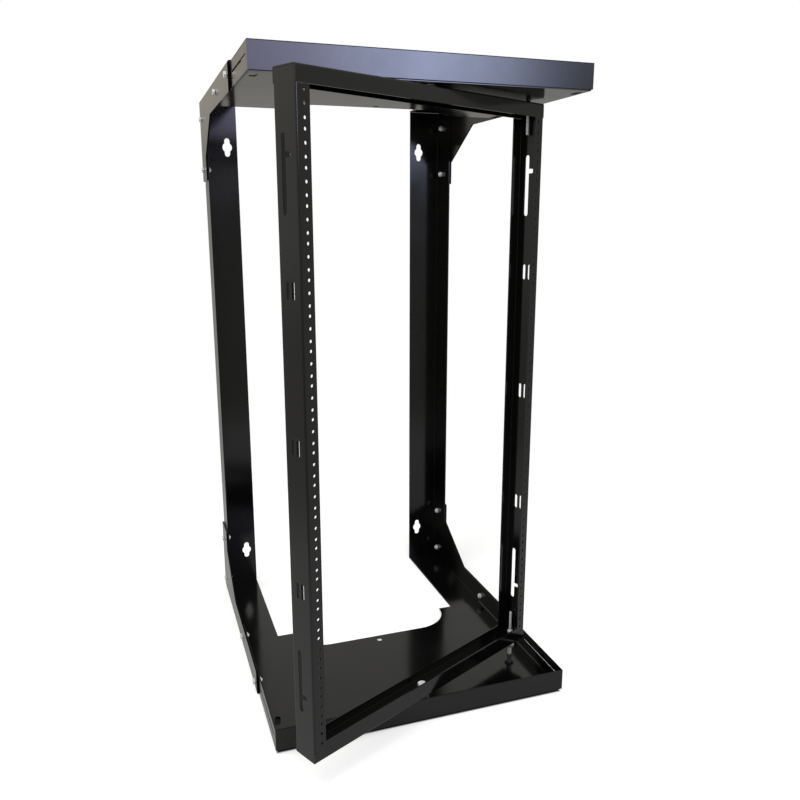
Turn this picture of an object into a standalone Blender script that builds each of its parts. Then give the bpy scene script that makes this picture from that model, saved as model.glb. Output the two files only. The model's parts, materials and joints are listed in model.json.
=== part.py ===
# Swing-out wall rack: a 20-unit equipment frame that turns on a centre pivot between
# two trays, which four gusseted arms hold off a pair of wall posts.
# Metres, +Z up. The wall is the plane Y = 0 and the front faces -Y. The origin lies on
# the wall face of the left post, on its keyhole line and half-way up.

import math

import bmesh
import bpy
from mathutils import Matrix, Vector

# Equipment opening
unit = 0.04445
units = 20
hole_columns = 0.4651
hole_edge = 0.01315
hole_radius = 0.0024
hole_sides = 10
rail_height = 0.0216

# Swing frame
frame_depth = 0.044
frame_sheet = 0.002
frame_bend = 0.0025
front_flange = 0.0207
rear_flange = 0.0209
lower_lip = 0.0262
lower_rear_lip = 0.0162
upper_lip = 0.0215
upper_rear_lip = 0.0195
lip_notch = 0.0096
pivot_setback = 0.025
open_angle = math.radians(25.7)

# Long slots and slot pairs in the side walls of the frame
long_slot_length = 0.097
long_slot_width = 0.0078
long_slot_back = 0.0272
long_slot_from_end = 0.0745
notch_width = 0.007
notch_back = 0.014
notch_from_end = 0.0255
pair_slot_length = 0.0255
pair_slot_width = 0.0056
pair_slot_backs = (0.0165, 0.0265)
pair_pitch = 0.2035
side_slot_drop = 0.0014

# Trays
tray_width = 0.499
tray_depth = 0.337
tray_flange = 0.038
tray_sheet = 0.0015
tray_bend = 0.002
recess_depth = 0.0628
recess_inset = 0.094
recess_hole_from_front = 0.26
recess_hole_radius = 0.005
pivot_from_front = 0.028
frame_clearance = 0.0042
rim_slot_height = 0.0215
rim_slot_width = 0.0022
rim_slot_start = 0.014
rim_slot_length = 0.125

# Wall posts
keyhole_pitch = 0.4064
rack_depth = 0.604
post_flange = 0.0656
post_web = 0.067
post_sheet = 0.0025
post_bend = 0.004
keyhole_from_end = 0.078
keyhole_radius = 0.0094
keyhole_slot_radius = 0.0053
keyhole_slot_reach = 0.0126
post_hole_drop = 0.0033

# Arms
arm_sheet = 0.003
arm_flange = 0.0689
arm_bend = 0.0036
arm_setback = 0.165
arm_web = 0.04
gusset_run = 0.108
gusset_rise = 0.065
arm_upright = 0.148
arm_upright_depth = 0.0675

# Fasteners
bolt_radius = 0.003
bolt_head = 0.0053
bolt_head_height = 0.0042
nut_size = 0.0055
nut_height = 0.005
bolt_tail = 0.002
bolt_bore = 0.0034
tray_bolts_from_front = (0.178, 0.33)
tray_bolts_from_end = (0.015, 0.018)
post_bolts_from_end = (0.03, 0.1235)
post_bolt_from_wall = 0.0275

# Pivots and latch
pivot_radius = 0.0045
pivot_bore = 0.0049
pivot_head = 0.0075
pivot_head_height = 0.005
pivot_nut_height = 0.006
boss_radius = 0.0125
latch_inset = 0.0077
latch_radius = 0.004
latch_bore = 0.0044
latch_collar = 0.005
latch_collar_height = 0.003
latch_rod = 0.0024
latch_reach = 0.046
guide_radius = 0.0054
guide_reach = 0.003
guide_disc = 0.0086
guide_disc_height = 0.0025
guide_disc_level = 0.0195
upper_guide_reach = 0.0008
index_angle = math.radians(11.1)
index_slot_width = 0.0094
index_slot_length = 0.024

# Clearance between pieces that touch, and the overshoot of cutters
gap = 0.0003
over = 0.002
arc_steps = 4

# Places that follow from the sizes above
frame_width = hole_columns + 2 * hole_edge
frame_height = units * unit + 2 * rail_height
rack_height = frame_height + 2 * (tray_flange + frame_clearance)
side_inset = (tray_width - keyhole_pitch) / 2
left_side = -side_inset
right_side = left_side + tray_width
middle_x = left_side + tray_width / 2
front = -rack_depth
bottom = -rack_height / 2
top = rack_height / 2
pivot_y = front + pivot_from_front
frame_bottom = -frame_height / 2
frame_top = frame_height / 2
half_frame = frame_width / 2
latch_arm = half_frame - latch_inset
frame_front = -pivot_setback
frame_back = frame_front + frame_depth
upper_sheet = top - tray_flange

black_paint = ("black_paint", (0.024, 0.024, 0.026), 0.28, 0.0)
bright_zinc = ("bright_zinc", (0.72, 0.73, 0.74), 0.26, 1.0)
dark_zinc = ("dark_zinc", (0.42, 0.42, 0.43), 0.34, 1.0)

for thing in list(bpy.data.objects):
    bpy.data.objects.remove(thing)

parts = bpy.data.collections.new("swing_out_wall_rack")
cutters = bpy.data.collections.new("cutters")
bpy.context.scene.collection.children.link(parts)
bpy.context.scene.collection.children.link(cutters)


def finish_material(name, look):
    """Each sub-part has a material of its own."""
    kind, colour, roughness, metallic = look
    material = bpy.data.materials.new(name + "_" + kind)
    material.use_nodes = True
    shader = material.node_tree.nodes["Principled BSDF"]
    shader.inputs["Base Color"].default_value = (*colour, 1.0)
    shader.inputs["Roughness"].default_value = roughness
    shader.inputs["Metallic"].default_value = metallic
    material.diffuse_color = (*colour, 1.0)
    return material


def mesh_from(fill):
    """A mesh whose geometry a function adds with bmesh."""
    mesh = bpy.data.meshes.new("shape")
    work = bmesh.new()
    fill(work)
    work.to_mesh(mesh)
    work.free()
    return mesh


def add_part(name, mesh, look, parent=None):
    thing = bpy.data.objects.new(name, mesh)
    parts.objects.link(thing)
    thing.data.materials.clear()
    thing.data.materials.append(finish_material(name, look))
    thing.parent = parent
    return thing


def add_cutter(name, mesh):
    thing = bpy.data.objects.new(name, mesh)
    cutters.objects.link(thing)
    thing.hide_render = True
    thing.display_type = "WIRE"
    return thing


def box_mesh(low, high):
    """A box between two corners."""
    low, high = Vector(low), Vector(high)
    size = high - low

    def fill(work):
        place = Matrix.Translation((low + high) / 2) @ Matrix.Diagonal((*size, 1.0))
        bmesh.ops.create_cube(work, size=1.0, matrix=place)

    return mesh_from(fill)


axis_turns = {
    "X": Matrix.Rotation(math.pi / 2, 4, "Y"),
    "Y": Matrix.Rotation(-math.pi / 2, 4, "X"),
    "Z": Matrix.Identity(4),
}


def cylinder_mesh(radius, length, centre, axis, sides):
    """A closed cylinder about a point, along X, Y or Z."""

    def fill(work):
        place = Matrix.Translation(centre) @ axis_turns[axis]
        bmesh.ops.create_cone(work, cap_ends=True, segments=sides, radius1=radius,
                              radius2=radius, depth=length, matrix=place)

    return mesh_from(fill)


def arc(centre, radius, start, end, steps):
    """Points of an arc, ends included."""
    points = []
    for step in range(steps + 1):
        angle = start + (end - start) * step / steps
        points.append((centre[0] + radius * math.cos(angle), centre[1] + radius * math.sin(angle)))
    return points


def slot_outline(centre, length, width, turn=0.0, steps=arc_steps):
    """A slot with round ends, long along the first axis before the turn."""
    reach = (length - width) / 2
    points = arc((reach, 0.0), width / 2, -math.pi / 2, math.pi / 2, steps)
    points += arc((-reach, 0.0), width / 2, math.pi / 2, 1.5 * math.pi, steps)
    c, s = math.cos(turn), math.sin(turn)
    return [(centre[0] + c * x - s * y, centre[1] + s * x + c * y) for x, y in points]


def prism_mesh(outline, low, high, axis):
    """A flat outline, filled and extruded between two levels of an axis."""
    curve = bpy.data.curves.new("outline", "CURVE")
    curve.dimensions = "2D"
    curve.fill_mode = "BOTH"
    curve.extrude = abs(high - low) / 2
    spline = curve.splines.new("POLY")
    spline.points.add(len(outline) - 1)
    for point, (u, v) in zip(spline.points, outline):
        point.co = (u, v, 0.0, 1.0)
    spline.use_cyclic_u = True
    holder = bpy.data.objects.new("outline", curve)
    bpy.context.scene.collection.objects.link(holder)
    bpy.context.view_layer.update()
    graph = bpy.context.evaluated_depsgraph_get()
    mesh = bpy.data.meshes.new_from_object(holder.evaluated_get(graph))
    bpy.data.objects.remove(holder)
    bpy.data.curves.remove(curve)
    level = (low + high) / 2
    # the outline's own axes become (Y, Z), (X, Z) or (X, Y)
    places = {
        "X": Matrix(((0, 0, 1, level), (1, 0, 0, 0), (0, 1, 0, 0), (0, 0, 0, 1))),
        "Y": Matrix(((1, 0, 0, 0), (0, 0, -1, level), (0, 1, 0, 0), (0, 0, 0, 1))),
        "Z": Matrix.Translation((0, 0, level)),
    }
    work = bmesh.new()
    work.from_mesh(mesh)
    bmesh.ops.remove_doubles(work, verts=work.verts, dist=0.00001)
    bmesh.ops.transform(work, matrix=places[axis], verts=work.verts)
    bmesh.ops.recalc_face_normals(work, faces=work.faces)
    work.to_mesh(mesh)
    work.free()
    mesh.materials.clear()
    return mesh


def folded_outline(corners, sheet, bend):
    """The section of a folded sheet: its outer line, with round bends, and the same line inset."""
    outer = []
    inner = []
    last = len(corners) - 1
    for index, corner in enumerate(corners):
        here = Vector(corner)
        if index in (0, last):
            along = (Vector(corners[1]) - here) if index == 0 else (here - Vector(corners[last - 1]))
            side = Vector((-along.y, along.x)).normalized() * sheet
            outer.append(tuple(here))
            inner.append(tuple(here + side))
            continue
        before = (here - Vector(corners[index - 1])).normalized()
        after = (Vector(corners[index + 1]) - here).normalized()
        inward = Vector((-before.y, before.x))
        centre = here - before * bend + inward * bend
        start = math.atan2(-inward.y, -inward.x)
        outer += arc(centre, bend, start, start + math.pi / 2, arc_steps)
        inner += arc(centre, bend - sheet, start, start + math.pi / 2, arc_steps)
    return outer + inner[::-1]


def cut(target, cutter_mesh, name):
    """Cuts a shape out of a part."""
    cutter = add_cutter(target.name + "_" + name, cutter_mesh)
    cutter.parent = target.parent
    modifier = target.modifiers.new(name, "BOOLEAN")
    modifier.operation = "DIFFERENCE"
    modifier.object = cutter


def joined(meshes):
    """Several closed shapes in one cutter mesh; they don't touch each other."""
    work = bmesh.new()
    for mesh in meshes:
        work.from_mesh(mesh)
    result = bpy.data.meshes.new("joined")
    work.to_mesh(result)
    work.free()
    return result


def union(first, second, name):
    """One closed mesh from two overlapping shapes."""
    base = bpy.data.objects.new(name, first)
    extra = bpy.data.objects.new(name + "_extra", second)
    bpy.context.scene.collection.objects.link(base)
    bpy.context.scene.collection.objects.link(extra)
    modifier = base.modifiers.new("union", "BOOLEAN")
    modifier.operation = "UNION"
    modifier.object = extra
    bpy.context.view_layer.update()
    graph = bpy.context.evaluated_depsgraph_get()
    mesh = bpy.data.meshes.new_from_object(base.evaluated_get(graph))
    bpy.data.objects.remove(base)
    bpy.data.objects.remove(extra)
    return mesh


def turned(name, profile, look, place, parent=None, sides=24):
    """A turned piece: its outline at +X, closed on the axis or round a bore."""
    work = bmesh.new()
    verts = [work.verts.new((radius, 0.0, level)) for radius, level in profile]
    for one, two in zip(verts, verts[1:]):
        work.edges.new((one, two))
    if profile[0][0] > 0.0:
        work.edges.new((verts[-1], verts[0]))
    mesh = bpy.data.meshes.new(name)
    work.to_mesh(mesh)
    work.free()
    piece = add_part(name, mesh, look, parent)
    piece.location = place
    screw = piece.modifiers.new("turn", "SCREW")
    screw.steps = sides
    screw.render_steps = sides
    screw.use_merge_vertices = True
    screw.merge_threshold = 0.00001
    return piece


def mirrored_x(points, about):
    return [(2 * about - x, y) for x, y in points][::-1]


# Wall posts
def keyhole_shapes(x, z):
    """A round hole with a slot above and below it, for hanging either way up."""
    low, high = -post_sheet - over, over
    length = 2 * (keyhole_slot_reach + keyhole_slot_radius)
    slot = slot_outline((z, x), length, 2 * keyhole_slot_radius)
    slot = [(v, u) for u, v in slot][::-1]
    centre = (x, (low + high) / 2, z)
    round_hole = cylinder_mesh(keyhole_radius, high - low, centre, "Y", 20)
    return union(prism_mesh(slot, low, high, "Y"), round_hole, "keyhole")


def make_post(name, side_x, inward, keyhole_x):
    flange_end = side_x + inward * post_flange
    corners = [(flange_end, 0.0), (side_x, 0.0), (side_x, -post_web)]
    if inward > 0:
        # walked so that the sheet lies on the left of the line
        outline = folded_outline(corners, post_sheet, post_bend)
    else:
        outline = folded_outline(corners[::-1], post_sheet, post_bend)
    post = add_part(name, prism_mesh(outline, bottom, top, "Z"), black_paint)
    shapes = []
    for end in (-1, 1):
        level = end * (rack_height / 2 - keyhole_from_end) - post_hole_drop
        shapes.append(keyhole_shapes(keyhole_x, level))
    cut(post, joined(shapes), "keyholes")
    bores = []
    for end in (-1, 1):
        for reach in post_bolts_from_end:
            level = end * (rack_height / 2 - reach) - post_hole_drop
            centre = (side_x, -post_bolt_from_wall, level)
            bores.append(cylinder_mesh(bolt_bore, 0.02, centre, "X", 12))
    cut(post, joined(bores), "bolt_bores")
    return post


make_post("post_left", left_side, 1, 0.0)
make_post("post_right", right_side, -1, keyhole_pitch)


# Arms: an angle that carries the tray, with a gusset up or down the post
def make_arm(name, side_x, inward, end):
    level = end * rack_height / 2
    web_face = side_x - inward * gap
    outer_x = web_face - inward * arm_sheet
    flange_face = level + end * gap
    outer_z = flange_face + end * arm_sheet
    reach = [(outer_x + inward * arm_flange, outer_z), (outer_x, outer_z),
             (outer_x, level - end * arm_upright)]
    if inward * end > 0:
        reach = [reach[0], reach[1], reach[2]]
    else:
        reach = reach[::-1]
    outline = folded_outline(reach, arm_sheet, arm_bend)
    arm = add_part(name, prism_mesh(outline, front + arm_setback, 0.0, "Y"), black_paint)
    rise = level - end * arm_web
    waste = [
        (front + arm_setback - over, rise),
        (-arm_upright_depth - gusset_run, rise),
        (-arm_upright_depth, rise - end * gusset_rise),
        (-arm_upright_depth, level - end * (arm_upright + over)),
        (front + arm_setback - over, level - end * (arm_upright + over)),
    ]
    sides = sorted((outer_x - inward * over, side_x + inward * over))
    cut(arm, prism_mesh(waste, sides[0], sides[1], "X"), "gusset_edge")
    bores = []
    for setback, from_end in zip(tray_bolts_from_front, tray_bolts_from_end):
        centre = (side_x, front + setback, level - end * from_end)
        bores.append(cylinder_mesh(bolt_bore, 0.02, centre, "X", 12))
    for from_end in post_bolts_from_end:
        centre = (side_x, -post_bolt_from_wall, level - end * from_end - post_hole_drop)
        bores.append(cylinder_mesh(bolt_bore, 0.02, centre, "X", 12))
    cut(arm, joined(bores), "bolt_bores")
    return arm


for side_name, side_x, inward in (("left", left_side, 1), ("right", right_side, -1)):
    make_arm("arm_upper_" + side_name, side_x, inward, 1)
    make_arm("arm_lower_" + side_name, side_x, inward, -1)


# Trays: a pan with its front and sides folded up, and a cable recess at the back
def recess_outline():
    back = front + tray_depth
    low = back - recess_depth
    first = left_side + recess_inset
    second = right_side - recess_inset
    points = [(first, back + over), (first, back)]
    points += arc((first + recess_depth, back), recess_depth, math.pi, 1.5 * math.pi, 10)
    points += arc((second - recess_depth, back), recess_depth, 1.5 * math.pi, 2 * math.pi, 10)
    points += [(second, back + over)]
    return points


def index_outline(side):
    """A slot on the latch's circle, at the angle where the frame first catches."""
    turn = index_angle if side > 0 else math.pi - index_angle
    place = (middle_x + latch_arm * math.cos(turn), pivot_y + latch_arm * math.sin(turn))
    return slot_outline(place, index_slot_length, index_slot_width, turn + math.pi / 2)


def make_tray(name, floor):
    low = (left_side, front, floor)
    high = (right_side, front + tray_depth, floor + tray_flange)
    mesh = box_mesh(low, high)
    work = bmesh.new()
    work.from_mesh(mesh)
    work.normal_update()
    open_faces = [face for face in work.faces if face.normal.z > 0.5 or face.normal.y > 0.5]
    bmesh.ops.delete(work, geom=open_faces, context="FACES_ONLY")
    folds = []
    for edge in work.edges:
        if len(edge.link_faces) == 2 and all(abs(v.co.z - floor) < over for v in edge.verts):
            folds.append(edge)
    bmesh.ops.bevel(work, geom=folds, offset=tray_bend, segments=3, affect="EDGES")
    work.to_mesh(mesh)
    work.free()
    tray = add_part(name, mesh, black_paint)
    shell = tray.modifiers.new("sheet", "SOLIDIFY")
    shell.thickness = tray_sheet
    shell.offset = -1.0
    shell.use_even_offset = True
    under, over_sheet = floor - over, floor + tray_sheet + over
    cut(tray, prism_mesh(recess_outline(), under, over_sheet, "Z"), "recess")
    holes = []
    pivot = (middle_x, pivot_y, (under + over_sheet) / 2)
    holes.append(cylinder_mesh(pivot_bore, over_sheet - under, pivot, "Z", 20))
    for side in (-1, 1):
        catch = (middle_x + side * latch_arm, pivot_y)
        slot = slot_outline(catch, index_slot_length, index_slot_width, math.pi / 2)
        holes.append(prism_mesh(slot, under, over_sheet, "Z"))
    if floor < 0.0:
        holes.append(prism_mesh(index_outline(-1), under, over_sheet, "Z"))
    cable_hole = (middle_x, front + recess_hole_from_front, pivot[2])
    holes.append(cylinder_mesh(recess_hole_radius, over_sheet - under, cable_hole, "Z", 16))
    cut(tray, joined(holes), "floor_holes")
    slots = []
    for side_x in (left_side, right_side):
        slot_middle = (front + rim_slot_start + rim_slot_length / 2, floor + rim_slot_height)
        slot = slot_outline(slot_middle, rim_slot_length, rim_slot_width)
        slots.append(prism_mesh(slot, side_x - 0.006, side_x + 0.006, "X"))
        for setback, from_end in zip(tray_bolts_from_front, tray_bolts_from_end):
            # the arm lies on the outer end of each tray: above the upper, below the lower
            level = floor + (from_end if floor < 0.0 else tray_flange - from_end)
            centre = (side_x, front + setback, level)
            slots.append(cylinder_mesh(bolt_bore, 0.012, centre, "X", 12))
    cut(tray, joined(slots), "side_holes")
    return tray


make_tray("tray_lower", bottom)
make_tray("tray_upper", upper_sheet)


# Arm bolts and nuts
def bolt_mesh(grip):
    """A hex bolt along +Z whose head sits under the origin; its shank reaches past the nut."""
    shank_length = grip + nut_height + bolt_tail + 3 * gap
    head = cylinder_mesh(bolt_head, bolt_head_height, (0, 0, -bolt_head_height / 2), "Z", 6)
    shank = cylinder_mesh(bolt_radius, shank_length + 0.001, (0, 0, shank_length / 2 - 0.0005), "Z", 12)
    return union(head, shank, "bolt")


def nut_mesh(size, height, bore):
    """A hex nut on the origin, with its bore."""
    nut = cylinder_mesh(size, height, (0, 0, height / 2), "Z", 6)
    blank = bpy.data.objects.new("nut", nut)
    tool = bpy.data.objects.new("nut_bore", cylinder_mesh(bore, height + over, (0, 0, height / 2), "Z", 12))
    bpy.context.scene.collection.objects.link(blank)
    bpy.context.scene.collection.objects.link(tool)
    modifier = blank.modifiers.new("bore", "BOOLEAN")
    modifier.operation = "DIFFERENCE"
    modifier.object = tool
    bpy.context.view_layer.update()
    graph = bpy.context.evaluated_depsgraph_get()
    mesh = bpy.data.meshes.new_from_object(blank.evaluated_get(graph))
    bpy.data.objects.remove(blank)
    bpy.data.objects.remove(tool)
    return mesh


def add_fastening(name, mesh_pair, side_x, inward, y, z, wall):
    """A bolt from outside through the arm and the sheet behind it, with its nut inside."""
    turn = Matrix.Rotation(inward * math.pi / 2, 4, "Y")
    head_face = side_x - inward * (2 * gap + arm_sheet)
    nut_face = side_x + inward * (wall + gap)
    bolt = add_part("bolt_" + name, mesh_pair[0].copy(), bright_zinc)
    bolt.matrix_world = Matrix.Translation((head_face, y, z)) @ turn
    nut = add_part("nut_" + name, mesh_pair[1].copy(), bright_zinc)
    nut.matrix_world = Matrix.Translation((nut_face, y, z)) @ turn


tray_pair = (bolt_mesh(arm_sheet + tray_sheet), nut_mesh(nut_size, nut_height, bolt_bore))
post_pair = (bolt_mesh(arm_sheet + post_sheet), nut_mesh(nut_size, nut_height, bolt_bore))
for level_name, level, end in (("upper", top, 1), ("lower", bottom, -1)):
    for side_name, side_x, inward in (("left", left_side, 1), ("right", right_side, -1)):
        corner = level_name + "_" + side_name
        places = zip(tray_bolts_from_front, tray_bolts_from_end)
        for number, (setback, from_end) in enumerate(places, 1):
            add_fastening(corner + "_tray_" + str(number), tray_pair, side_x, inward,
                          front + setback, level - end * from_end, tray_sheet)
        for number, from_end in enumerate(post_bolts_from_end, 1):
            add_fastening(corner + "_post_" + str(number), post_pair, side_x, inward,
                          -post_bolt_from_wall, level - end * from_end - post_hole_drop, post_sheet)

# Pivots: the lower bolt screws into a boss on the tray, the upper one passes the tray to a nut
lower_floor = bottom + tray_sheet
boss_top = frame_bottom - gap
boss_foot = lower_floor + gap
turned("pivot_boss", [
    (pivot_bore, 0.0), (pivot_bore, boss_top - boss_foot),
    (boss_radius - 0.0008, boss_top - boss_foot), (boss_radius, boss_top - boss_foot - 0.0008),
    (boss_radius, 0.0)], dark_zinc, (middle_x, pivot_y, boss_foot))


def pivot_bolt_mesh(shank_length):
    """A hex bolt along -Z whose head stands on the origin."""
    head = cylinder_mesh(pivot_head, pivot_head_height, (0, 0, pivot_head_height / 2), "Z", 6)
    shank = cylinder_mesh(pivot_radius, shank_length + 0.001, (0, 0, -shank_length / 2 + 0.0005), "Z", 20)
    return union(head, shank, "pivot_bolt")


plate_top = frame_bottom + frame_sheet + gap
lower_shank = plate_top - lower_floor - 0.003
lower_bolt = add_part("pivot_bolt_lower", pivot_bolt_mesh(lower_shank), bright_zinc)
lower_bolt.location = (middle_x, pivot_y, plate_top)
plate_under = frame_top - frame_sheet - gap
upper_top = upper_sheet + tray_sheet
upper_shank = upper_top + pivot_nut_height + 0.003 - plate_under
upper_bolt = add_part("pivot_bolt_upper", pivot_bolt_mesh(upper_shank), bright_zinc)
upper_bolt.location = (middle_x, pivot_y, plate_under)
upper_bolt.rotation_euler = (math.pi, 0.0, 0.0)
upper_nut = add_part("pivot_nut_upper", nut_mesh(pivot_head, pivot_nut_height, pivot_bore), bright_zinc)
upper_nut.location = (middle_x, pivot_y, upper_top + gap)
washer_height = upper_sheet - frame_top - 2 * gap
turned("pivot_washer_upper", [
    (boss_radius, washer_height), (boss_radius, 0.0), (pivot_bore, 0.0),
    (pivot_bore, washer_height)], dark_zinc, (middle_x, pivot_y, frame_top + gap))

# Swing frame, hung on an empty on the pivot axis; its own X runs along the frame
pivot = bpy.data.objects.new("swing_pivot", None)
parts.objects.link(pivot)
pivot.location = (middle_x, pivot_y, 0.0)
pivot.rotation_euler = (0.0, 0.0, open_angle)


def side_slots(side_x):
    """Long slots with a side notch near both ends, and three pairs of short slots between."""
    low, high = side_x - 0.006, side_x + 0.006
    shapes = []
    for end in (-1, 1):
        reach = frame_height / 2 - long_slot_from_end - long_slot_length / 2
        centre = (end * reach - side_slot_drop, frame_front + long_slot_back)
        outline = [(v, u) for u, v in slot_outline(centre, long_slot_length, long_slot_width)][::-1]
        notch_z = end * (frame_height / 2 - long_slot_from_end - notch_from_end) - side_slot_drop
        notch_length = long_slot_back - notch_back
        notch_place = (frame_front + notch_back + notch_length / 2, notch_z)
        notch = prism_mesh(slot_outline(notch_place, notch_length, notch_width), low, high, "X")
        shapes.append(union(prism_mesh(outline, low, high, "X"), notch, "long_slot"))
    for row in (-1, 0, 1):
        for back in pair_slot_backs:
            centre = (row * pair_pitch - side_slot_drop, frame_front + back)
            outline = slot_outline(centre, pair_slot_length, pair_slot_width, 0.0, 3)
            shapes.append(prism_mesh([(v, u) for u, v in outline][::-1], low, high, "X"))
    return joined(shapes)


def hole_column(x):
    """The standard column of rack holes: three to a unit, at 1/4, 7/8 and 1 1/2 of an inch."""
    first = units * unit / 2
    shapes = []
    for number in range(units):
        for down in (0.00635, 0.022225, 0.0381):
            centre = (x, frame_front + frame_sheet / 2, first - number * unit - down)
            shapes.append(cylinder_mesh(hole_radius, 0.008, centre, "Y", hole_sides))
    return joined(shapes)


def make_stile(name, side):
    outer = side * half_frame
    flange = outer - side * front_flange
    lip = outer - side * rear_flange
    corners = [(flange, frame_front), (outer, frame_front), (outer, frame_back), (lip, frame_back)]
    if side < 0:
        corners = corners[::-1]
    outline = folded_outline(corners, frame_sheet, frame_bend)
    low = frame_bottom + frame_sheet + gap
    stile = add_part(name, prism_mesh(outline, low, -low, "Z"), black_paint, pivot)
    wide = sorted((outer + side * over, outer - side * 0.03))
    front_in = frame_front + frame_sheet + gap
    back_in = frame_back - frame_sheet - gap
    trims = [
        box_mesh((wide[0], frame_front - over, low - over),
                 (wide[1], front_in, frame_bottom + lower_lip - lip_notch + gap)),
        box_mesh((wide[0], back_in, low - over),
                 (wide[1], frame_back + over, frame_bottom + lower_rear_lip + gap)),
        box_mesh((wide[0], frame_front - over, frame_top - upper_lip - gap),
                 (wide[1], front_in, over - low)),
        box_mesh((wide[0], back_in, frame_top - upper_rear_lip - gap),
                 (wide[1], frame_back + over, over - low)),
    ]
    cut(stile, joined(trims), "ends")
    cut(stile, hole_column(side * hole_columns / 2), "rack_holes")
    cut(stile, side_slots(outer), "side_slots")
    return stile


make_stile("stile_left", -1)
make_stile("stile_right", 1)


def make_rail(name, end, front_lip, rear_lip):
    """A channel across the frame, open towards the equipment."""
    outer = end * frame_height / 2
    corners = [(frame_front, outer - end * front_lip), (frame_front, outer),
               (frame_back, outer), (frame_back, outer - end * rear_lip)]
    if end > 0:
        corners = corners[::-1]
    outline = folded_outline(corners, frame_sheet, frame_bend)
    rail = add_part(name, prism_mesh(outline, -half_frame, half_frame, "X"), black_paint, pivot)
    tools = [cylinder_mesh(pivot_bore, 0.012, (0.0, 0.0, outer), "Z", 20),
             cylinder_mesh(guide_radius + gap, 0.012, (latch_arm, 0.0, outer), "Z", 20)]
    if end < 0:
        notch_low = outer + front_lip - lip_notch
        for side in (-1, 1):
            wide = sorted((side * (half_frame + over), side * (half_frame - front_flange - gap)))
            tools.append(box_mesh((wide[0], frame_front - over, notch_low),
                                  (wide[1], frame_front + frame_sheet + over, outer + front_lip + over)))
    cut(rail, joined(tools), "holes")
    return rail


make_rail("rail_lower", -1, lower_lip, lower_rear_lip)
make_rail("rail_upper", 1, upper_lip, upper_rear_lip)

# Latches: a guide in each rail, the lower one with a disc, and a pin with a long thin rod in it
def make_latch(name, end, disc_reach, tray_reach, disc):
    """Reaches are measured from the rail's outer face; levels below start at the guide's face."""
    guide_top = disc_reach + frame_sheet + guide_reach
    foot = [(guide_radius, 0.0)]
    if disc:
        foot = [(guide_radius, guide_disc_height), (guide_disc, guide_disc_height), (guide_disc, 0.0)]
    pin_foot = disc_reach - tray_reach + gap
    collar_foot = guide_top + gap
    collar_top = collar_foot + latch_collar_height
    rod_top = disc_reach + latch_reach
    place = (latch_arm, 0.0, end * (frame_height / 2 + disc_reach))
    profile = [(guide_radius, guide_top)] + foot + [(latch_bore, 0.0), (latch_bore, guide_top)]
    guide = turned("latch_guide_" + name, profile, dark_zinc, place, pivot)
    pin = turned("latch_pin_" + name, [
        (0.0, rod_top), (latch_rod * 0.7, rod_top), (latch_rod, rod_top - latch_rod * 0.5),
        (latch_rod, collar_top), (latch_collar, collar_top), (latch_collar, collar_foot),
        (latch_radius, collar_foot), (latch_radius, pin_foot + 0.0015),
        (latch_radius - 0.0015, pin_foot), (0.0, pin_foot)], bright_zinc, place, pivot)
    if end > 0:
        guide.rotation_euler = (math.pi, 0.0, 0.0)
        pin.rotation_euler = (math.pi, 0.0, 0.0)


make_latch("lower", -1, tray_flange + frame_clearance - guide_disc_level,
           tray_flange + frame_clearance - tray_sheet, True)
make_latch("upper", 1, upper_guide_reach, frame_clearance, False)

bpy.context.view_layer.update()
for thing in parts.objects:
    if thing.type == "MESH" and len(thing.data.polygons):
        thing.data.shade_smooth()
        thing.data.set_sharp_from_angle(angle=math.radians(35))
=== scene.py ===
import json
import math

import bmesh
import bpy
from mathutils import Matrix, Vector


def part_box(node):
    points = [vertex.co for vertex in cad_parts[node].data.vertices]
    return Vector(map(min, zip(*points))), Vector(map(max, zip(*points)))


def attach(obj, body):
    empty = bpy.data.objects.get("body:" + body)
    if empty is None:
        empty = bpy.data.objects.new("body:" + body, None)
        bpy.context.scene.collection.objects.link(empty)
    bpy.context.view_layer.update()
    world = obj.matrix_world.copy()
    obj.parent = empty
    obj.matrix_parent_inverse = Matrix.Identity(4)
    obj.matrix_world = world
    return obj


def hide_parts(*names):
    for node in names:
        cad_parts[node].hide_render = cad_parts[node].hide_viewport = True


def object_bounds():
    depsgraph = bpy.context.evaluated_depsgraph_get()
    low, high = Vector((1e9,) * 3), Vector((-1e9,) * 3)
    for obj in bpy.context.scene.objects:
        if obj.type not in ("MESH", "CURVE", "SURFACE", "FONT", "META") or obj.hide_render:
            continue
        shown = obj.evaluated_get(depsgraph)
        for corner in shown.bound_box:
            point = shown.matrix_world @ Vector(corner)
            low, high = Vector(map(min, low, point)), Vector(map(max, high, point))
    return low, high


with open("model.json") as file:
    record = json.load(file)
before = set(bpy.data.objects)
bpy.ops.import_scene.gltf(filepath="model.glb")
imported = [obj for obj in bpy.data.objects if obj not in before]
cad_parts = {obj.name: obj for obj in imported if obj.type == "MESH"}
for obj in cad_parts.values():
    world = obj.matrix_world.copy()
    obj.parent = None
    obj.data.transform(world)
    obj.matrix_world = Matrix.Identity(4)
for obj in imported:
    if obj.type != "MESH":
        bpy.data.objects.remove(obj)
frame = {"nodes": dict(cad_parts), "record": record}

cadLow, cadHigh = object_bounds()
nodes = frame["nodes"]
bodies = frame["record"]["behaviour"]["bodies"]
bodyOf = {name: body for body, names in bodies.items() for name in names}
scene = bpy.context.scene
print("frame loaded, nodes:", len(nodes))


# shader helpers: all but the first take the tree and give back a socket or a node
def startMaterial(name):
    material = bpy.data.materials.new(name)
    material.use_nodes = True
    tree = material.node_tree
    shader = tree.nodes["Principled BSDF"]
    coords = tree.nodes.new("ShaderNodeTexCoord")
    return material, tree, shader, coords.outputs["Object"]


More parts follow.
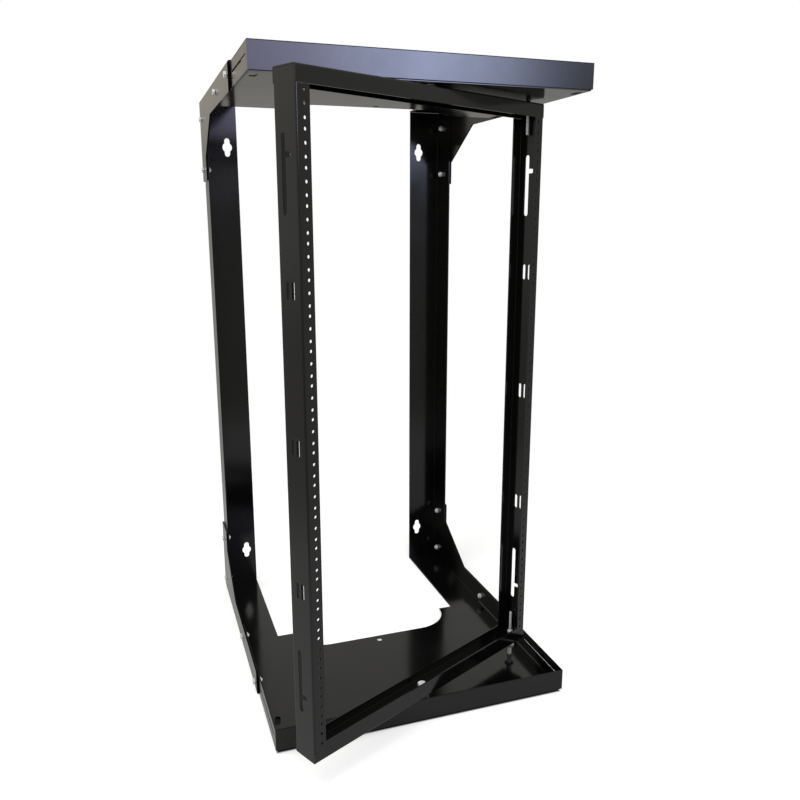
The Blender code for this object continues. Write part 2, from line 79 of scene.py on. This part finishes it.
def noiseFrom(tree, coords, scale, detail, rough=0.5):
    noise = tree.nodes.new("ShaderNodeTexNoise")
    noise.inputs["Scale"].default_value = scale
    noise.inputs["Detail"].default_value = detail
    noise.inputs["Roughness"].default_value = rough
    tree.links.new(coords, noise.inputs["Vector"])
    return noise.outputs["Fac"]


def spread(tree, source, fromLow, fromHigh, low, high, smooth=False):
    ranged = tree.nodes.new("ShaderNodeMapRange")
    if smooth:
        ranged.interpolation_type = "SMOOTHSTEP"
    ranged.inputs["From Min"].default_value = fromLow
    ranged.inputs["From Max"].default_value = fromHigh
    ranged.inputs["To Min"].default_value = low
    ranged.inputs["To Max"].default_value = high
    tree.links.new(source, ranged.inputs["Value"])
    return ranged.outputs["Result"]


def ramp(tree, source, stops):
    node = tree.nodes.new("ShaderNodeValToRGB")
    elements = node.color_ramp.elements
    while len(elements) < len(stops):
        elements.new(0.5)
    for element, (place, colour) in zip(elements, stops):
        element.position = place
        element.color = (*colour, 1.0)
    tree.links.new(source, node.inputs["Fac"])
    return node.outputs["Color"]


def maths(tree, operation, first, second=None):
    node = tree.nodes.new("ShaderNodeMath")
    node.operation = operation
    for socket, value in zip(node.inputs, (first, second)):
        if isinstance(value, (int, float)):
            socket.default_value = value
        elif value is not None:
            tree.links.new(value, socket)
    return node.outputs[0]


def axesOf(tree, coords):
    split = tree.nodes.new("ShaderNodeSeparateXYZ")
    tree.links.new(coords, split.inputs[0])
    return split.outputs


def mixed(tree, factor, first, second):
    node = tree.nodes.new("ShaderNodeMix")
    node.data_type = "RGBA"
    tree.links.new(factor, node.inputs["Factor"])
    for socket, value in ((node.inputs["A"], first), (node.inputs["B"], second)):
        if isinstance(value, tuple):
            socket.default_value = (*value, 1.0)
        else:
            tree.links.new(value, socket)
    return node.outputs["Result"]


def vectorMaths(tree, operation, first, second=None):
    node = tree.nodes.new("ShaderNodeVectorMath")
    node.operation = operation
    for socket, value in zip(node.inputs, (first, second)):
        if isinstance(value, tuple):
            socket.default_value = value
        elif value is not None:
            tree.links.new(value, socket)
    return node


def scaled(tree, vector, factor):
    node = vectorMaths(tree, "SCALE", vector)
    tree.links.new(factor, node.inputs["Scale"])
    return node.outputs[0]


bevelSamples = 8


def bump(tree, shader, height, strength, distance, edge):
    rounded = tree.nodes.new("ShaderNodeBevel")
    rounded.samples = bevelSamples
    rounded.inputs["Radius"].default_value = edge
    node = tree.nodes.new("ShaderNodeBump")
    node.inputs["Strength"].default_value = strength
    node.inputs["Distance"].default_value = distance
    tree.links.new(rounded.outputs["Normal"], node.inputs["Normal"])
    tree.links.new(height, node.inputs["Height"])
    tree.links.new(node.outputs["Normal"], shader.inputs["Normal"])


# glossy black paint: fine specks, slow clouds of gloss and a weak orange peel. It is thin
# and dull where the sheets were cut. On the trays a dull dark band round each side slot is
# painted shade, a shadow line wider than the slot, and a dull darker band runs along the top
# edge.
paint = {
    "dark": (0.0018, 0.0018, 0.0018),
    "light": (0.0038, 0.0038, 0.0037),
    "speckScale": 1400.0,
    "speckDetail": 2.0,
    "speckStops": (0.42, 0.72),
    "cloudScale": 9.0,
    "cloudDetail": 4.0,
    "cloudGrain": 0.6,
    "cloudSpan": (0.3, 0.7),
    "roughness": (0.1, 0.17),
    "peelScale": 420.0,
    "peelDetail": 1.0,
    "peelStrength": 0.35,
    "peelDepth": 0.00005,
    "ior": 1.5,
    "foldEdge": 0.0012,
    "sheetEdge": 0.0002,
    # dark and dull: the cut faces, and on the trays also the painted shadow line round the side
    # slots
    "cutAndShadowLineColour": (0.0022, 0.0022, 0.0021),
    "cutRough": 0.75,
    "cutSpecular": 0.12,
    "shift": 0.83,
    "shiftShares": (1.0, 0.37, 0.71),
}

# the painted shade band round the slot in a tray's sides, from its floor and front, and the
# sheet's edge on its flanges
traySides = {
    "slotLevel": 0.0215,
    "slotShadowHalf": 0.002,
    "slotEnds": (0.013, 0.141),
    "topEdge": 0.0011,
    "sheet": 0.0015,
    "margin": 0.004,
}


def near(tree, axis, middle, half):
    # 1 where the axis is less than half away from the middle
    away = maths(tree, "ABSOLUTE", maths(tree, "SUBTRACT", axis, middle))
    return maths(tree, "LESS_THAN", away, half)


# painted shade: a dull dark band either side of the side slot's line, wider than the slot,
# stands in for its shadow line; the top of the flanges gets the same dull dark colour
def shadowLineAndEdgeMaskOf(tree, coords, low, high):
    x, y, z = axesOf(tree, coords)
    band = near(tree, z, low.z + traySides["slotLevel"], traySides["slotShadowHalf"])
    start, end = traySides["slotEnds"]
    along = near(tree, y, low.y + (start + end) / 2, (end - start) / 2)
    slotShadowMask = maths(tree, "MULTIPLY", band, along)
    edgeMask = maths(tree, "GREATER_THAN", z, high.z - traySides["topEdge"])
    return maths(tree, "MAXIMUM", slotShadowMask, edgeMask)


def makePaint(name, shift, edge, tray=None):
    material, tree, shader, coords = startMaterial(name)
    moved = tree.nodes.new("ShaderNodeMapping")
    moved.inputs["Location"].default_value = [share * shift for share in paint["shiftShares"]]
    tree.links.new(coords, moved.inputs["Vector"])
    place = moved.outputs["Vector"]
    specks = noiseFrom(tree, place, paint["speckScale"], paint["speckDetail"])
    stops = list(zip(paint["speckStops"], (paint["dark"], paint["light"])))
    colour = ramp(tree, specks, stops)
    grain = (paint["cloudScale"], paint["cloudDetail"], paint["cloudGrain"])
    clouds = noiseFrom(tree, place, *grain)
    rough = spread(tree, clouds, *paint["cloudSpan"], *paint["roughness"])
    if tray is not None:
        # on a tray, the painted shadow line round the slots and the top edge take the dull dark
        # colour
        mask = shadowLineAndEdgeMaskOf(tree, coords, *tray)
        colour = mixed(tree, mask, colour, paint["cutAndShadowLineColour"])
        dull = maths(tree, "MULTIPLY", mask, paint["cutRough"])
        rough = maths(tree, "MAXIMUM", rough, dull)
    tree.links.new(colour, shader.inputs["Base Color"])
    tree.links.new(rough, shader.inputs["Roughness"])
    peel = noiseFrom(tree, place, paint["peelScale"], paint["peelDetail"])
    bump(tree, shader, peel, paint["peelStrength"], paint["peelDepth"], edge)
    shader.inputs["IOR"].default_value = paint["ior"]
    return material


def makeCutPaint():
    material, tree, shader, coords = startMaterial("paintOnCutEdges")
    shader.inputs["Base Color"].default_value = (*paint["cutAndShadowLineColour"], 1.0)
    shader.inputs["Roughness"].default_value = paint["cutRough"]
    shader.inputs["Specular IOR Level"].default_value = paint["cutSpecular"]
    return material


zinc = {
    "dull": (0.84, 0.85, 0.87),
    "bright": (0.97, 0.97, 0.97),
    "darkDull": (0.30, 0.30, 0.31),
    "darkBright": (0.55, 0.55, 0.56),
    "spangleScale": 900.0,
    "spangleDetail": 3.0,
    "spangleGrain": 0.6,
    "spangleStops": (0.3, 0.75),
    "spangleStrength": 0.2,
    "spangleDepth": 0.00004,
    "roughSpan": (0.3, 0.7),
    "roughness": (0.16, 0.34),
    "roundEdge": 0.00025,
    "metalShare": 0.25,
    "darkMetalShare": 0.8,
}


def makeZinc(name, dull, bright, share):
    material, tree, shader, coords = startMaterial(name)
    grain = (zinc["spangleScale"], zinc["spangleDetail"], zinc["spangleGrain"])
    spangle = noiseFrom(tree, coords, *grain)
    colour = ramp(tree, spangle, list(zip(zinc["spangleStops"], (dull, bright))))
    tree.links.new(colour, shader.inputs["Base Color"])
    rough = spread(tree, spangle, *zinc["roughSpan"], *zinc["roughness"])
    tree.links.new(rough, shader.inputs["Roughness"])
    bump(tree, shader, spangle, zinc["spangleStrength"], zinc["spangleDepth"], zinc["roundEdge"])
    shader.inputs["Metallic"].default_value = share
    return material


def smooth(mesh, limit=35.0):
    mesh.shade_smooth()
    mesh.set_sharp_from_angle(angle=math.radians(limit))


# which faces get the dull paint, by the shares of their normals
cutFaces = {
    "postFlat": 0.95,
    "armFront": -0.4,
    "trayUp": 0.5,
}


def isCut(name, centre, normal):
    if name.startswith("post"):
        # the fold and the walls of the holes: all that isn't flat along an axis
        return max(abs(share) for share in normal) < cutFaces["postFlat"]
    if name.startswith("arm"):
        # all that faces the front is the edge of the sheet
        return normal.y < cutFaces["armFront"]
    # the walls of the holes in a tray's floor stand inside the sheet, away from the folds
    low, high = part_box(name)
    margin = traySides["margin"]
    inside = low.x + margin < centre.x < high.x - margin and centre.y > low.y + margin
    onWall = abs(normal.z) < cutFaces["trayUp"] and centre.z < low.z + traySides["sheet"]
    return inside and onWall


cutPaint = makeCutPaint()
for number, name in enumerate(sorted(nodes)):
    kind = name.split("_")[0]
    if kind not in ("post", "tray", "arm", "stile", "rail"):
        continue
    node = nodes[name]
    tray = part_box(name) if kind == "tray" else None
    edge = paint["foldEdge"] if kind == "stile" else paint["sheetEdge"]
    node.data.materials.clear()
    node.data.materials.append(makePaint("paint_" + name, paint["shift"] * number, edge, tray))
    if kind in ("tray", "arm", "post"):
        node.data.materials.append(cutPaint)
        turn = node.matrix_world.to_3x3()
        for polygon in node.data.polygons:
            centre = node.matrix_world @ polygon.center
            if isCut(name, centre, turn @ polygon.normal):
                polygon.material_index = 1
    smooth(node.data)
zincBright = makeZinc("zincBright", zinc["dull"], zinc["bright"], zinc["metalShare"])
zincDark = makeZinc("zincDark", zinc["darkDull"], zinc["darkBright"], zinc["darkMetalShare"])
print("materials done:", len(bpy.data.materials))


# Fine pieces are stacks of rings. A ring is a level and a radius, or a level and a function
# of the angle that gives the radius. A bored mesh goes round from its last ring to its first,
# and any other gets two caps.
def ringMesh(name, rings, sides, bored=False):
    work = bmesh.new()
    rows = []
    for level, radius in rings:
        row = []
        for side in range(sides):
            angle = 2 * math.pi * side / sides
            reach = radius(angle) if callable(radius) else radius
            row.append(work.verts.new((reach * math.cos(angle), reach * math.sin(angle), level)))
        rows.append(row)
    pairs = list(zip(rows, rows[1:]))
    if bored:
        pairs.append((rows[-1], rows[0]))
    for first, second in pairs:
        for side in range(sides):
            after = (side + 1) % sides
            work.faces.new((first[side], first[after], second[after], second[side]))
    if not bored:
        for end in (0, -1):
            row, level = rows[end], rings[end][0]
            hub = work.verts.new((0.0, 0.0, level))
            for side in range(sides):
                work.faces.new((row[side], row[(side + 1) % sides], hub))
    bmesh.ops.recalc_face_normals(work, faces=work.faces)
    mesh = bpy.data.meshes.new(name)
    work.to_mesh(mesh)
    work.free()
    smooth(mesh)
    return mesh


def hexagon(corner, limit=1.0):
    # corners at 30 degrees and every 60 on, cut back to a round limit
    flat = corner * math.cos(math.pi / 6)

    def radius(angle):
        turned = (angle + math.pi / 6) % (math.pi / 3) - math.pi / 6
        return min(flat / math.cos(turned), limit)

    return radius


def thread(outer, depth, pitch, start, end, steps):
    rings = []
    for step in range(steps + 1):
        level = start + (end - start) * step / steps
        fade = min(1.0, (level - start) / pitch, (end - level) / pitch)

        def radius(angle, level=level, fade=fade):
            turn = (level / pitch + angle / (2 * math.pi)) % 1.0
            return outer - fade * depth * abs(2 * turn - 1)

        rings.append((level, radius))
    return rings


# hex heads and nuts: shares are of half the width over the flats, or of the shank
hexHead = {
    "faceShare": 0.93,
    "chamferSlope": 1.73,
    "chamferSteps": 4,
    "dimple": 0.0003,
    "dimpleShares": (0.45, 0.5, 0.58),
    "washerFace": 0.0004,
    "washerShare": 0.96,
    "filletShare": 1.06,
    "fillet": 0.0003,
    "tipShare": 0.78,
    "nutFaceShare": 0.8,
    "nutThreadShare": 0.7,
    "nutThreadInset": 0.0002,
    "stepsPerTurn": 6,
    "sides": 48,
}


def chamfered(corner, top, way):
    # the rounded-off corners between the top face and the flats, walked away from the top
    flat = corner * math.cos(math.pi / 6)
    start = flat * hexHead["faceShare"]
    drop = (corner - start) / hexHead["chamferSlope"]
    rings = []
    for step in range(hexHead["chamferSteps"] + 1):
        share = step / hexHead["chamferSteps"]
        limit = start + (corner - start) * share
        rings.append((top + way * drop * share, hexagon(corner, limit)))
    return rings


def hexBolt(name, corner, headHeight, shank, length, pitch, depth):
    # the head's outer face is at -headHeight, its seat at 0, and the thread ends at length
    flat = corner * math.cos(math.pi / 6)
    face = flat * hexHead["washerShare"]
    dip = -headHeight + hexHead["dimple"]
    levels = (dip, dip, -headHeight)
    rings = [(level, flat * share) for level, share in zip(levels, hexHead["dimpleShares"])]
    rings += chamfered(corner, -headHeight, 1)
    seat = -hexHead["washerFace"]
    rings += [(seat, hexagon(corner)), (seat, face), (0.0, face)]
    rings += [(0.0, shank * hexHead["filletShare"]), (hexHead["fillet"], shank)]
    steps = int(hexHead["stepsPerTurn"] * length / pitch)
    rings += thread(shank, depth, pitch, pitch, length - 0.5 * pitch, steps)
    rings.append((length, shank * hexHead["tipShare"]))
    return ringMesh(name, rings, hexHead["sides"])


def hexNut(name, corner, height, bore, pitch, depth):
    depth *= hexHead["nutThreadShare"]
    face = corner * math.cos(math.pi / 6) * hexHead["nutFaceShare"]
    rings = [(0.0, bore + depth), (0.0, face)] + chamfered(corner, 0.0, 1)
    rings += chamfered(corner, height, -1)[::-1]
    rings += [(height, face), (height, bore + depth)]
    steps = int(hexHead["stepsPerTurn"] * height / pitch)
    inset = hexHead["nutThreadInset"]
    inner = thread(bore + depth, depth, pitch, inset, height - inset, steps)
    return ringMesh(name, rings + inner[::-1], hexHead["sides"], bored=True)


def addFine(name, mesh, material, place):
    mesh.materials.append(material)
    mesh.transform(place)
    piece = bpy.data.objects.new("fine_" + name, mesh)
    scene.collection.objects.link(piece)
    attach(piece, bodyOf[name])
    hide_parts(name)


# arm bolts and nuts: heads outside on the arms, nuts inside on the trays and posts
armBolt = {
    "headHeight": 0.0042,
    "shank": 0.003,
    "pitch": 0.001,
    "threadDepth": 0.0004,
    "bore": 0.0031,
}
middleX = (cadLow.x + cadHigh.x) / 2


def centreOf(low, high):
    return (Vector(low) + Vector(high)) / 2


for name in sorted(nodes):
    kind = name.split("_")[0]
    if kind not in ("bolt", "nut"):
        continue
    low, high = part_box(name)
    centre = centreOf(low, high)
    leftSide = centre.x < middleX
    turn = Matrix.Rotation(math.radians(90 if leftSide else -90), 4, "Y")
    corner = (high.y - low.y) / 2
    if kind == "bolt":
        length = high.x - low.x - armBolt["headHeight"]
        mesh = hexBolt(name, corner, armBolt["headHeight"], armBolt["shank"], length,
                       armBolt["pitch"], armBolt["threadDepth"])
        seat = low.x + armBolt["headHeight"] if leftSide else high.x - armBolt["headHeight"]
    else:
        mesh = hexNut(name, corner, high.x - low.x, armBolt["bore"], armBolt["pitch"],
                      armBolt["threadDepth"])
        seat = low.x if leftSide else high.x
    place = Matrix.Translation((seat, centre.y, centre.z)) @ turn
    addFine(name, mesh, zincBright, place)
print("arm bolts and nuts done")


# pivots: two hex bolts, the nut on the upper tray, the turned boss and the washer
pivotBolt = {
    "headHeight": 0.005,
    "shank": 0.0045,
    "pitch": 0.00125,
    "threadDepth": 0.0005,
    "bore": 0.0046,
}


def pivotBoltMesh(name, headDown):
    low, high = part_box(name)
    centre = centreOf(low, high)
    length = high.z - low.z - pivotBolt["headHeight"]
    corner = (high.y - low.y) / 2
    mesh = hexBolt(name, corner, pivotBolt["headHeight"], pivotBolt["shank"], length,
                   pivotBolt["pitch"], pivotBolt["threadDepth"])
    if headDown:
        return mesh, Matrix.Translation((centre.x, centre.y, low.z + pivotBolt["headHeight"]))
    seat = Matrix.Translation((centre.x, centre.y, high.z - pivotBolt["headHeight"]))
    return mesh, seat @ Matrix.Rotation(math.pi, 4, "X")


for name, headDown in (("pivot_bolt_lower", False), ("pivot_bolt_upper", True)):
    mesh, place = pivotBoltMesh(name, headDown)
    addFine(name, mesh, zincBright, place)
low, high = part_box("pivot_nut_upper")
mesh = hexNut("pivot_nut_upper", (high.y - low.y) / 2, high.z - low.z, pivotBolt["bore"],
              pivotBolt["pitch"], pivotBolt["threadDepth"])
centre = centreOf(low, high)
place = Matrix.Translation((centre.x, centre.y, low.z))
addFine("pivot_nut_upper", mesh, zincBright, place)

# the grooves are at shares of the ring's height
turnedRing = {
    "bore": 0.0049,
    "round": 0.0006,
    "roundShare": 0.3,
    "groove": 0.00022,
    "grooveWidth": 0.0016,
    "grooves": {"pivot_boss": (0.12, 0.88), "pivot_washer_upper": (0.5,)},
    "sides": 64,
}


def turnedRingMesh(name, outer, height):
    edge = turnedRing["round"]
    bore = turnedRing["bore"]
    part = edge * turnedRing["roundShare"]
    floor = outer - turnedRing["groove"]
    half = turnedRing["grooveWidth"] / 2
    rings = [(0.0, bore + edge), (0.0, outer - edge), (part, outer - part), (edge, outer)]
    for share in turnedRing["grooves"][name]:
        level = height * share
        rings += [(level - half, outer), (level - half * 0.5, floor)]
        rings += [(level + half * 0.5, floor), (level + half, outer)]
    rings += [(height - edge, outer), (height - part, outer - part)]
    rings += [(height, outer - edge), (height, bore + edge)]
    rings += [(height - edge, bore), (edge, bore)]
    return ringMesh(name, rings, turnedRing["sides"], bored=True)


for name in turnedRing["grooves"]:
    low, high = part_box(name)
    centre = centreOf(low, high)
    mesh = turnedRingMesh(name, (high.y - low.y) / 2, high.z - low.z)
    place = Matrix.Translation((centre.x, centre.y, low.z))
    addFine(name, mesh, zincDark, place)
print("pivots done")


# latches: a guide bush with a disc, and a pin with a knurled collar, a long thin rod with a
# groove for a clip, and a round end
latch = {
    "bush": 0.0054,
    "bore": 0.0044,
    "discHeight": 0.0025,
    "round": 0.0004,
    "pin": 0.004,
    "tip": 0.0015,
    "tipShares": (0.4, 0.35),
    "collar": 0.005,
    "collarHeight": 0.003,
    "collarGap": 0.0003,
    "knurlDepth": 0.00022,
    "knurlTeeth": 24,
    "rod": 0.0024,
    "clipGroove": 0.0004,
    "clipWidth": 0.0008,
    "clipFromEnd": 0.006,
    "endSteps": 5,
    "endShares": (0.5, 0.9, 0.12),
    "sides": 48,
}


def guideMesh(name, disc, height):
    edge, bore, bush = latch["round"], latch["bore"], latch["bush"]
    discTop = latch["discHeight"]
    rings = [(0.0, bore + edge), (0.0, disc - edge), (edge, disc)]
    if disc > bush + edge:
        rings += [(discTop - edge, disc), (discTop, disc - edge), (discTop, bush)]
    rings += [(height - edge, bush), (height, bush - edge), (height, bore + edge)]
    rings += [(height - edge, bore), (edge, bore)]
    return ringMesh(name, rings, latch["sides"], bored=True)


def knurled(angle):
    wave = 0.5 + 0.5 * math.cos(latch["knurlTeeth"] * angle)
    return latch["collar"] - latch["knurlDepth"] * wave


def pinMesh(name, length, collarFoot):
    # the tip is at level 0 and the rod's end at length
    edge, pin, tip, rod = latch["round"], latch["pin"], latch["tip"], latch["rod"]
    collar = latch["collar"] - edge
    collarTop = collarFoot + latch["collarHeight"]
    along, across = latch["tipShares"]
    rings = [(0.0, pin - tip), (tip * along, pin - tip * across), (tip, pin)]
    rings += [(collarFoot, pin), (collarFoot, collar), (collarFoot + edge, knurled)]
    rings += [(collarTop - edge, knurled), (collarTop, collar), (collarTop, rod)]
    start = length - latch["clipFromEnd"]
    end = start + latch["clipWidth"]
    neck = rod - latch["clipGroove"]
    rings += [(start, rod), (start, neck), (end, neck), (end, rod)]
    dropShare, turnShare, lastShare = latch["endShares"]
    drop = rod * dropShare
    for step in range(latch["endSteps"]):
        angle = math.pi / 2 * step / latch["endSteps"]
        level = length - drop + drop * math.sin(angle)
        rings.append((level, rod * math.cos(angle * turnShare)))
    rings.append((length, rod * lastShare))
    return ringMesh(name, rings, latch["sides"])


for end, way in (("lower", 1), ("upper", -1)):
    flip = Matrix.Identity(4) if way > 0 else Matrix.Rotation(math.pi, 4, "X")
    guide, pin = "latch_guide_" + end, "latch_pin_" + end
    low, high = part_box(guide)
    centre = centreOf(low, high)
    height = high.z - low.z
    foot = low.z if way > 0 else high.z
    mesh = guideMesh(guide, (high.y - low.y) / 2, height)
    place = Matrix.Translation((centre.x, centre.y, foot)) @ flip
    addFine(guide, mesh, zincDark, place)
    low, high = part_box(pin)
    tip = low.z if way > 0 else high.z
    collarFoot = abs(foot + way * height - tip) + latch["collarGap"]
    mesh = pinMesh(pin, high.z - low.z, collarFoot)
    place = Matrix.Translation((centre.x, centre.y, tip)) @ flip
    addFine(pin, mesh, zincBright, place)
print("latches done")


# a pale floor that glows a little for the camera, less in mirrors, and fades out all round;
# under the lower tray it is painted near black with no glow, painted shade that shows through
# the tray's holes
floorLook = {
    "middle": (0.2, -0.35),
    "halfSize": 3.0,
    "drop": 0.0005,
    "colour": (0.78, 0.78, 0.76),
    "grainScale": 6.0,
    "grainDetail": 3.0,
    "grainStops": (0.3, 0.7),
    "grainLight": 1.03,
    "roughness": 0.9,
    "specular": 0.1,
    "glow": 0.5,
    "mirroredShare": 0.4,
    "mirroredGlow": 0.22,
    # the painted shade under the lower tray: its colour and the width of its soft edge
    "shadeUnderTrayColour": (0.02, 0.02, 0.02),
    "shadeUnderTrayEdge": 0.004,
    "recess": 0.084,
    "fade": (0.75, 1.45),
}


def outsideTray(tree, coords):
    # 0 on the ground under the lower tray, apart from its recess, where the shade is painted,
    # and 1 outside
    axes = axesOf(tree, coords)
    low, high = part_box("tray_lower")
    high = Vector((high.x, high.y - floorLook["recess"], high.z))
    middle, half = centreOf(low, high), (high - Vector(low)) / 2
    offsets = []
    for index in (0, 1):
        place = middle[index] - floorLook["middle"][index]
        distance = maths(tree, "ABSOLUTE", maths(tree, "SUBTRACT", axes[index], place))
        offsets.append(maths(tree, "SUBTRACT", distance, half[index]))
    furthest = maths(tree, "MAXIMUM", *offsets)
    return spread(tree, furthest, -floorLook["shadeUnderTrayEdge"], 0.0, 0.0, 1.0)


def floorMaterial():
    material, tree, shader, coords = startMaterial("paleFloor")
    path = tree.nodes.new("ShaderNodeLightPath")
    mirrored = path.outputs["Is Glossy Ray"]
    grain = noiseFrom(tree, coords, floorLook["grainScale"], floorLook["grainDetail"])
    pale = floorLook["colour"]
    paler, dim = [tuple(value * floorLook[share] for value in pale)
                  for share in ("grainLight", "mirroredShare")]
    grained = ramp(tree, grain, list(zip(floorLook["grainStops"], (pale, paler))))
    colour = mixed(tree, mirrored, grained, dim)
    shader.inputs["Roughness"].default_value = floorLook["roughness"]
    shader.inputs["Specular IOR Level"].default_value = floorLook["specular"]
    shader.inputs["Emission Color"].default_value = (1.0, 1.0, 1.0, 1.0)
    outside = outsideTray(tree, coords)
    # painted shade: the ground under the lower tray is coloured near black
    paintedShadeBase = mixed(tree, outside, floorLook["shadeUnderTrayColour"], colour)
    tree.links.new(paintedShadeBase, shader.inputs["Base Color"])
    glow = maths(tree, "MULTIPLY", path.outputs["Is Camera Ray"], floorLook["glow"])
    inMirrors = maths(tree, "MULTIPLY", mirrored, floorLook["mirroredGlow"])
    # no glow under the lower tray, part of the painted shade there
    seen = maths(tree, "ADD", maths(tree, "MULTIPLY", glow, outside), inMirrors)
    tree.links.new(seen, shader.inputs["Emission Strength"])
    # it fades out with the distance from the rack, so there is no horizon
    distance = vectorMaths(tree, "LENGTH", coords).outputs["Value"]
    fade = spread(tree, distance, *floorLook["fade"], 0.0, 1.0, True)
    clear = tree.nodes.new("ShaderNodeBsdfTransparent")
    mix = tree.nodes.new("ShaderNodeMixShader")
    for socket, source in zip(mix.inputs, (fade, shader.outputs[0], clear.outputs[0])):
        tree.links.new(source, socket)
    tree.links.new(mix.outputs[0], tree.nodes["Material Output"].inputs["Surface"])
    return material


def makeFloor():
    mesh = bpy.data.meshes.new("floor")
    work = bmesh.new()
    bmesh.ops.create_grid(work, x_segments=2, y_segments=2, size=floorLook["halfSize"])
    work.to_mesh(mesh)
    work.free()
    mesh.materials.append(floorMaterial())
    floor = bpy.data.objects.new("floor", mesh)
    scene.collection.objects.link(floor)
    floor.location = (*floorLook["middle"], cadLow.z - floorLook["drop"])


# what the glossy paint mirrors: a dim room, and one bluish window in front of the rack.
# The stops are shares of the azimuth between the two angles, and the window's colour there.
window = {
    "from": -10.0,
    "to": 44.0,
    "strength": 13.5,
    "stops": [
        (0.0, (0.012, 0.009, 0.006)),
        (0.33, (0.218, 0.205, 0.314)),
        (0.44, (0.307, 0.316, 0.478)),
        (0.50, (0.510, 0.560, 0.825)),
        (0.60, (0.590, 0.673, 0.996)),
        (0.68, (0.302, 0.345, 0.505)),
        (0.72, (0.150, 0.165, 0.250)),
        (0.76, (0.040, 0.042, 0.065)),
        (0.82, (0.0, 0.0, 0.0)),
    ],
    "sill": (0.045, 0.165),
    "top": (0.24, 0.42),
}

# the dim room: its level, and what its sides, the ceiling and the front add to it, each with
# the span of the direction's share over which it comes in
room = {
    "ambient": 0.42,
    "level": 0.35,
    "above": (0.2, 0.5, 0.16),
    "front": (0.6, 0.9, -0.05),
    "left": (0.3, 0.8, 0.21),
    "leftRise": (-0.17, -0.02),
    "right": (0.3, 0.8, 0.13),
    "rightTurn": (0.18, 0.3),
    "tint": (1.0, 0.985, 0.92),
}


def makeWorld():
    world = bpy.data.worlds.new("studioWorld")
    scene.world = world
    world.use_nodes = True
    tree = world.node_tree
    background = tree.nodes["Background"]
    coords = tree.nodes.new("ShaderNodeTexCoord")
    x, y, z = axesOf(tree, coords.outputs["Generated"])
    azimuth = maths(tree, "ARCTAN2", x, maths(tree, "MULTIPLY", y, -1.0))
    ends = [math.radians(window[end]) for end in ("from", "to")]
    share = spread(tree, azimuth, *ends, 0.0, 1.0)
    above = spread(tree, z, *window["sill"], 0.0, 1.0, True)
    below = spread(tree, z, *window["top"], 1.0, 0.0, True)
    level = maths(tree, "MULTIPLY", above, below)
    level = maths(tree, "MULTIPLY", level, window["strength"])
    pane = scaled(tree, ramp(tree, share, window["stops"]), level)
    dim = room["level"]
    toLeft, toFront = [maths(tree, "MULTIPLY", axis, -1.0) for axis in (x, y)]
    for axis, key, second, share in ((z, "above", None, None), (toFront, "front", None, None),
                                     (toLeft, "left", z, "leftRise"),
                                     (x, "right", toFront, "rightTurn")):
        start, end, extra = room[key]
        term = spread(tree, axis, start, end, 0.0, extra, True)
        if second is not None:
            rise = spread(tree, second, *room[share], 0.0, 1.0, True)
            term = maths(tree, "MULTIPLY", term, rise)
        dim = maths(tree, "ADD", term, dim)
    walls = scaled(tree, room["tint"], dim)
    both = vectorMaths(tree, "ADD", pane, walls).outputs[0]
    path = tree.nodes.new("ShaderNodeLightPath")
    soft = (room["ambient"],) * 3
    mirrored = mixed(tree, path.outputs["Is Glossy Ray"], soft, both)
    seen = mixed(tree, path.outputs["Is Camera Ray"], mirrored, (1.0, 1.0, 1.0))
    tree.links.new(seen, background.inputs["Color"])


# two soft panels that light the rack and that its paint doesn't mirror
panels = {
    "frontPanel": {
        "place": (0.40, -2.2, 1.25),
        "size": (1.5, 1.1),
        "power": 26.0,
        "colour": (0.95, 0.97, 1.0),
    },
    "topPanel": {
        "place": (-0.8, -0.6, 2.3),
        "size": (1.6, 1.6),
        "power": 34.0,
        "colour": (1.0, 0.98, 0.95),
    },
}
panelAim = Vector((0.2, -0.3, 0.0))


def addPanel(name, panel):
    light = bpy.data.lights.new(name, "AREA")
    light.shape = "RECTANGLE"
    light.size, light.size_y = panel["size"]
    light.energy = panel["power"]
    light.color = panel["colour"]
    lamp = bpy.data.objects.new(name, light)
    scene.collection.objects.link(lamp)
    lamp.location = panel["place"]
    towards = panelAim - Vector(panel["place"])
    lamp.rotation_euler = towards.to_track_quat("-Z", "Y").to_euler()
    lamp.visible_glossy = False


makeFloor()
makeWorld()
for name, panel in panels.items():
    addPanel(name, panel)

view = {
    "place": (-0.2084, -1.6556, 0.2917),
    "turn": (76.846, 0.03, -19.09),
    "lens": 35.2,
    "sensor": 36.0,
}
camera = bpy.data.cameras.new("photoCamera")
camera.sensor_width = view["sensor"]
camera.lens = view["lens"]
camera.clip_start = 0.01
cameraObject = bpy.data.objects.new("photoCamera", camera)
scene.collection.objects.link(cameraObject)
cameraObject.location = view["place"]
cameraObject.rotation_euler = [math.radians(angle) for angle in view["turn"]]
scene.camera = cameraObject
scene.view_settings.view_transform = "Standard"
print("studio done")
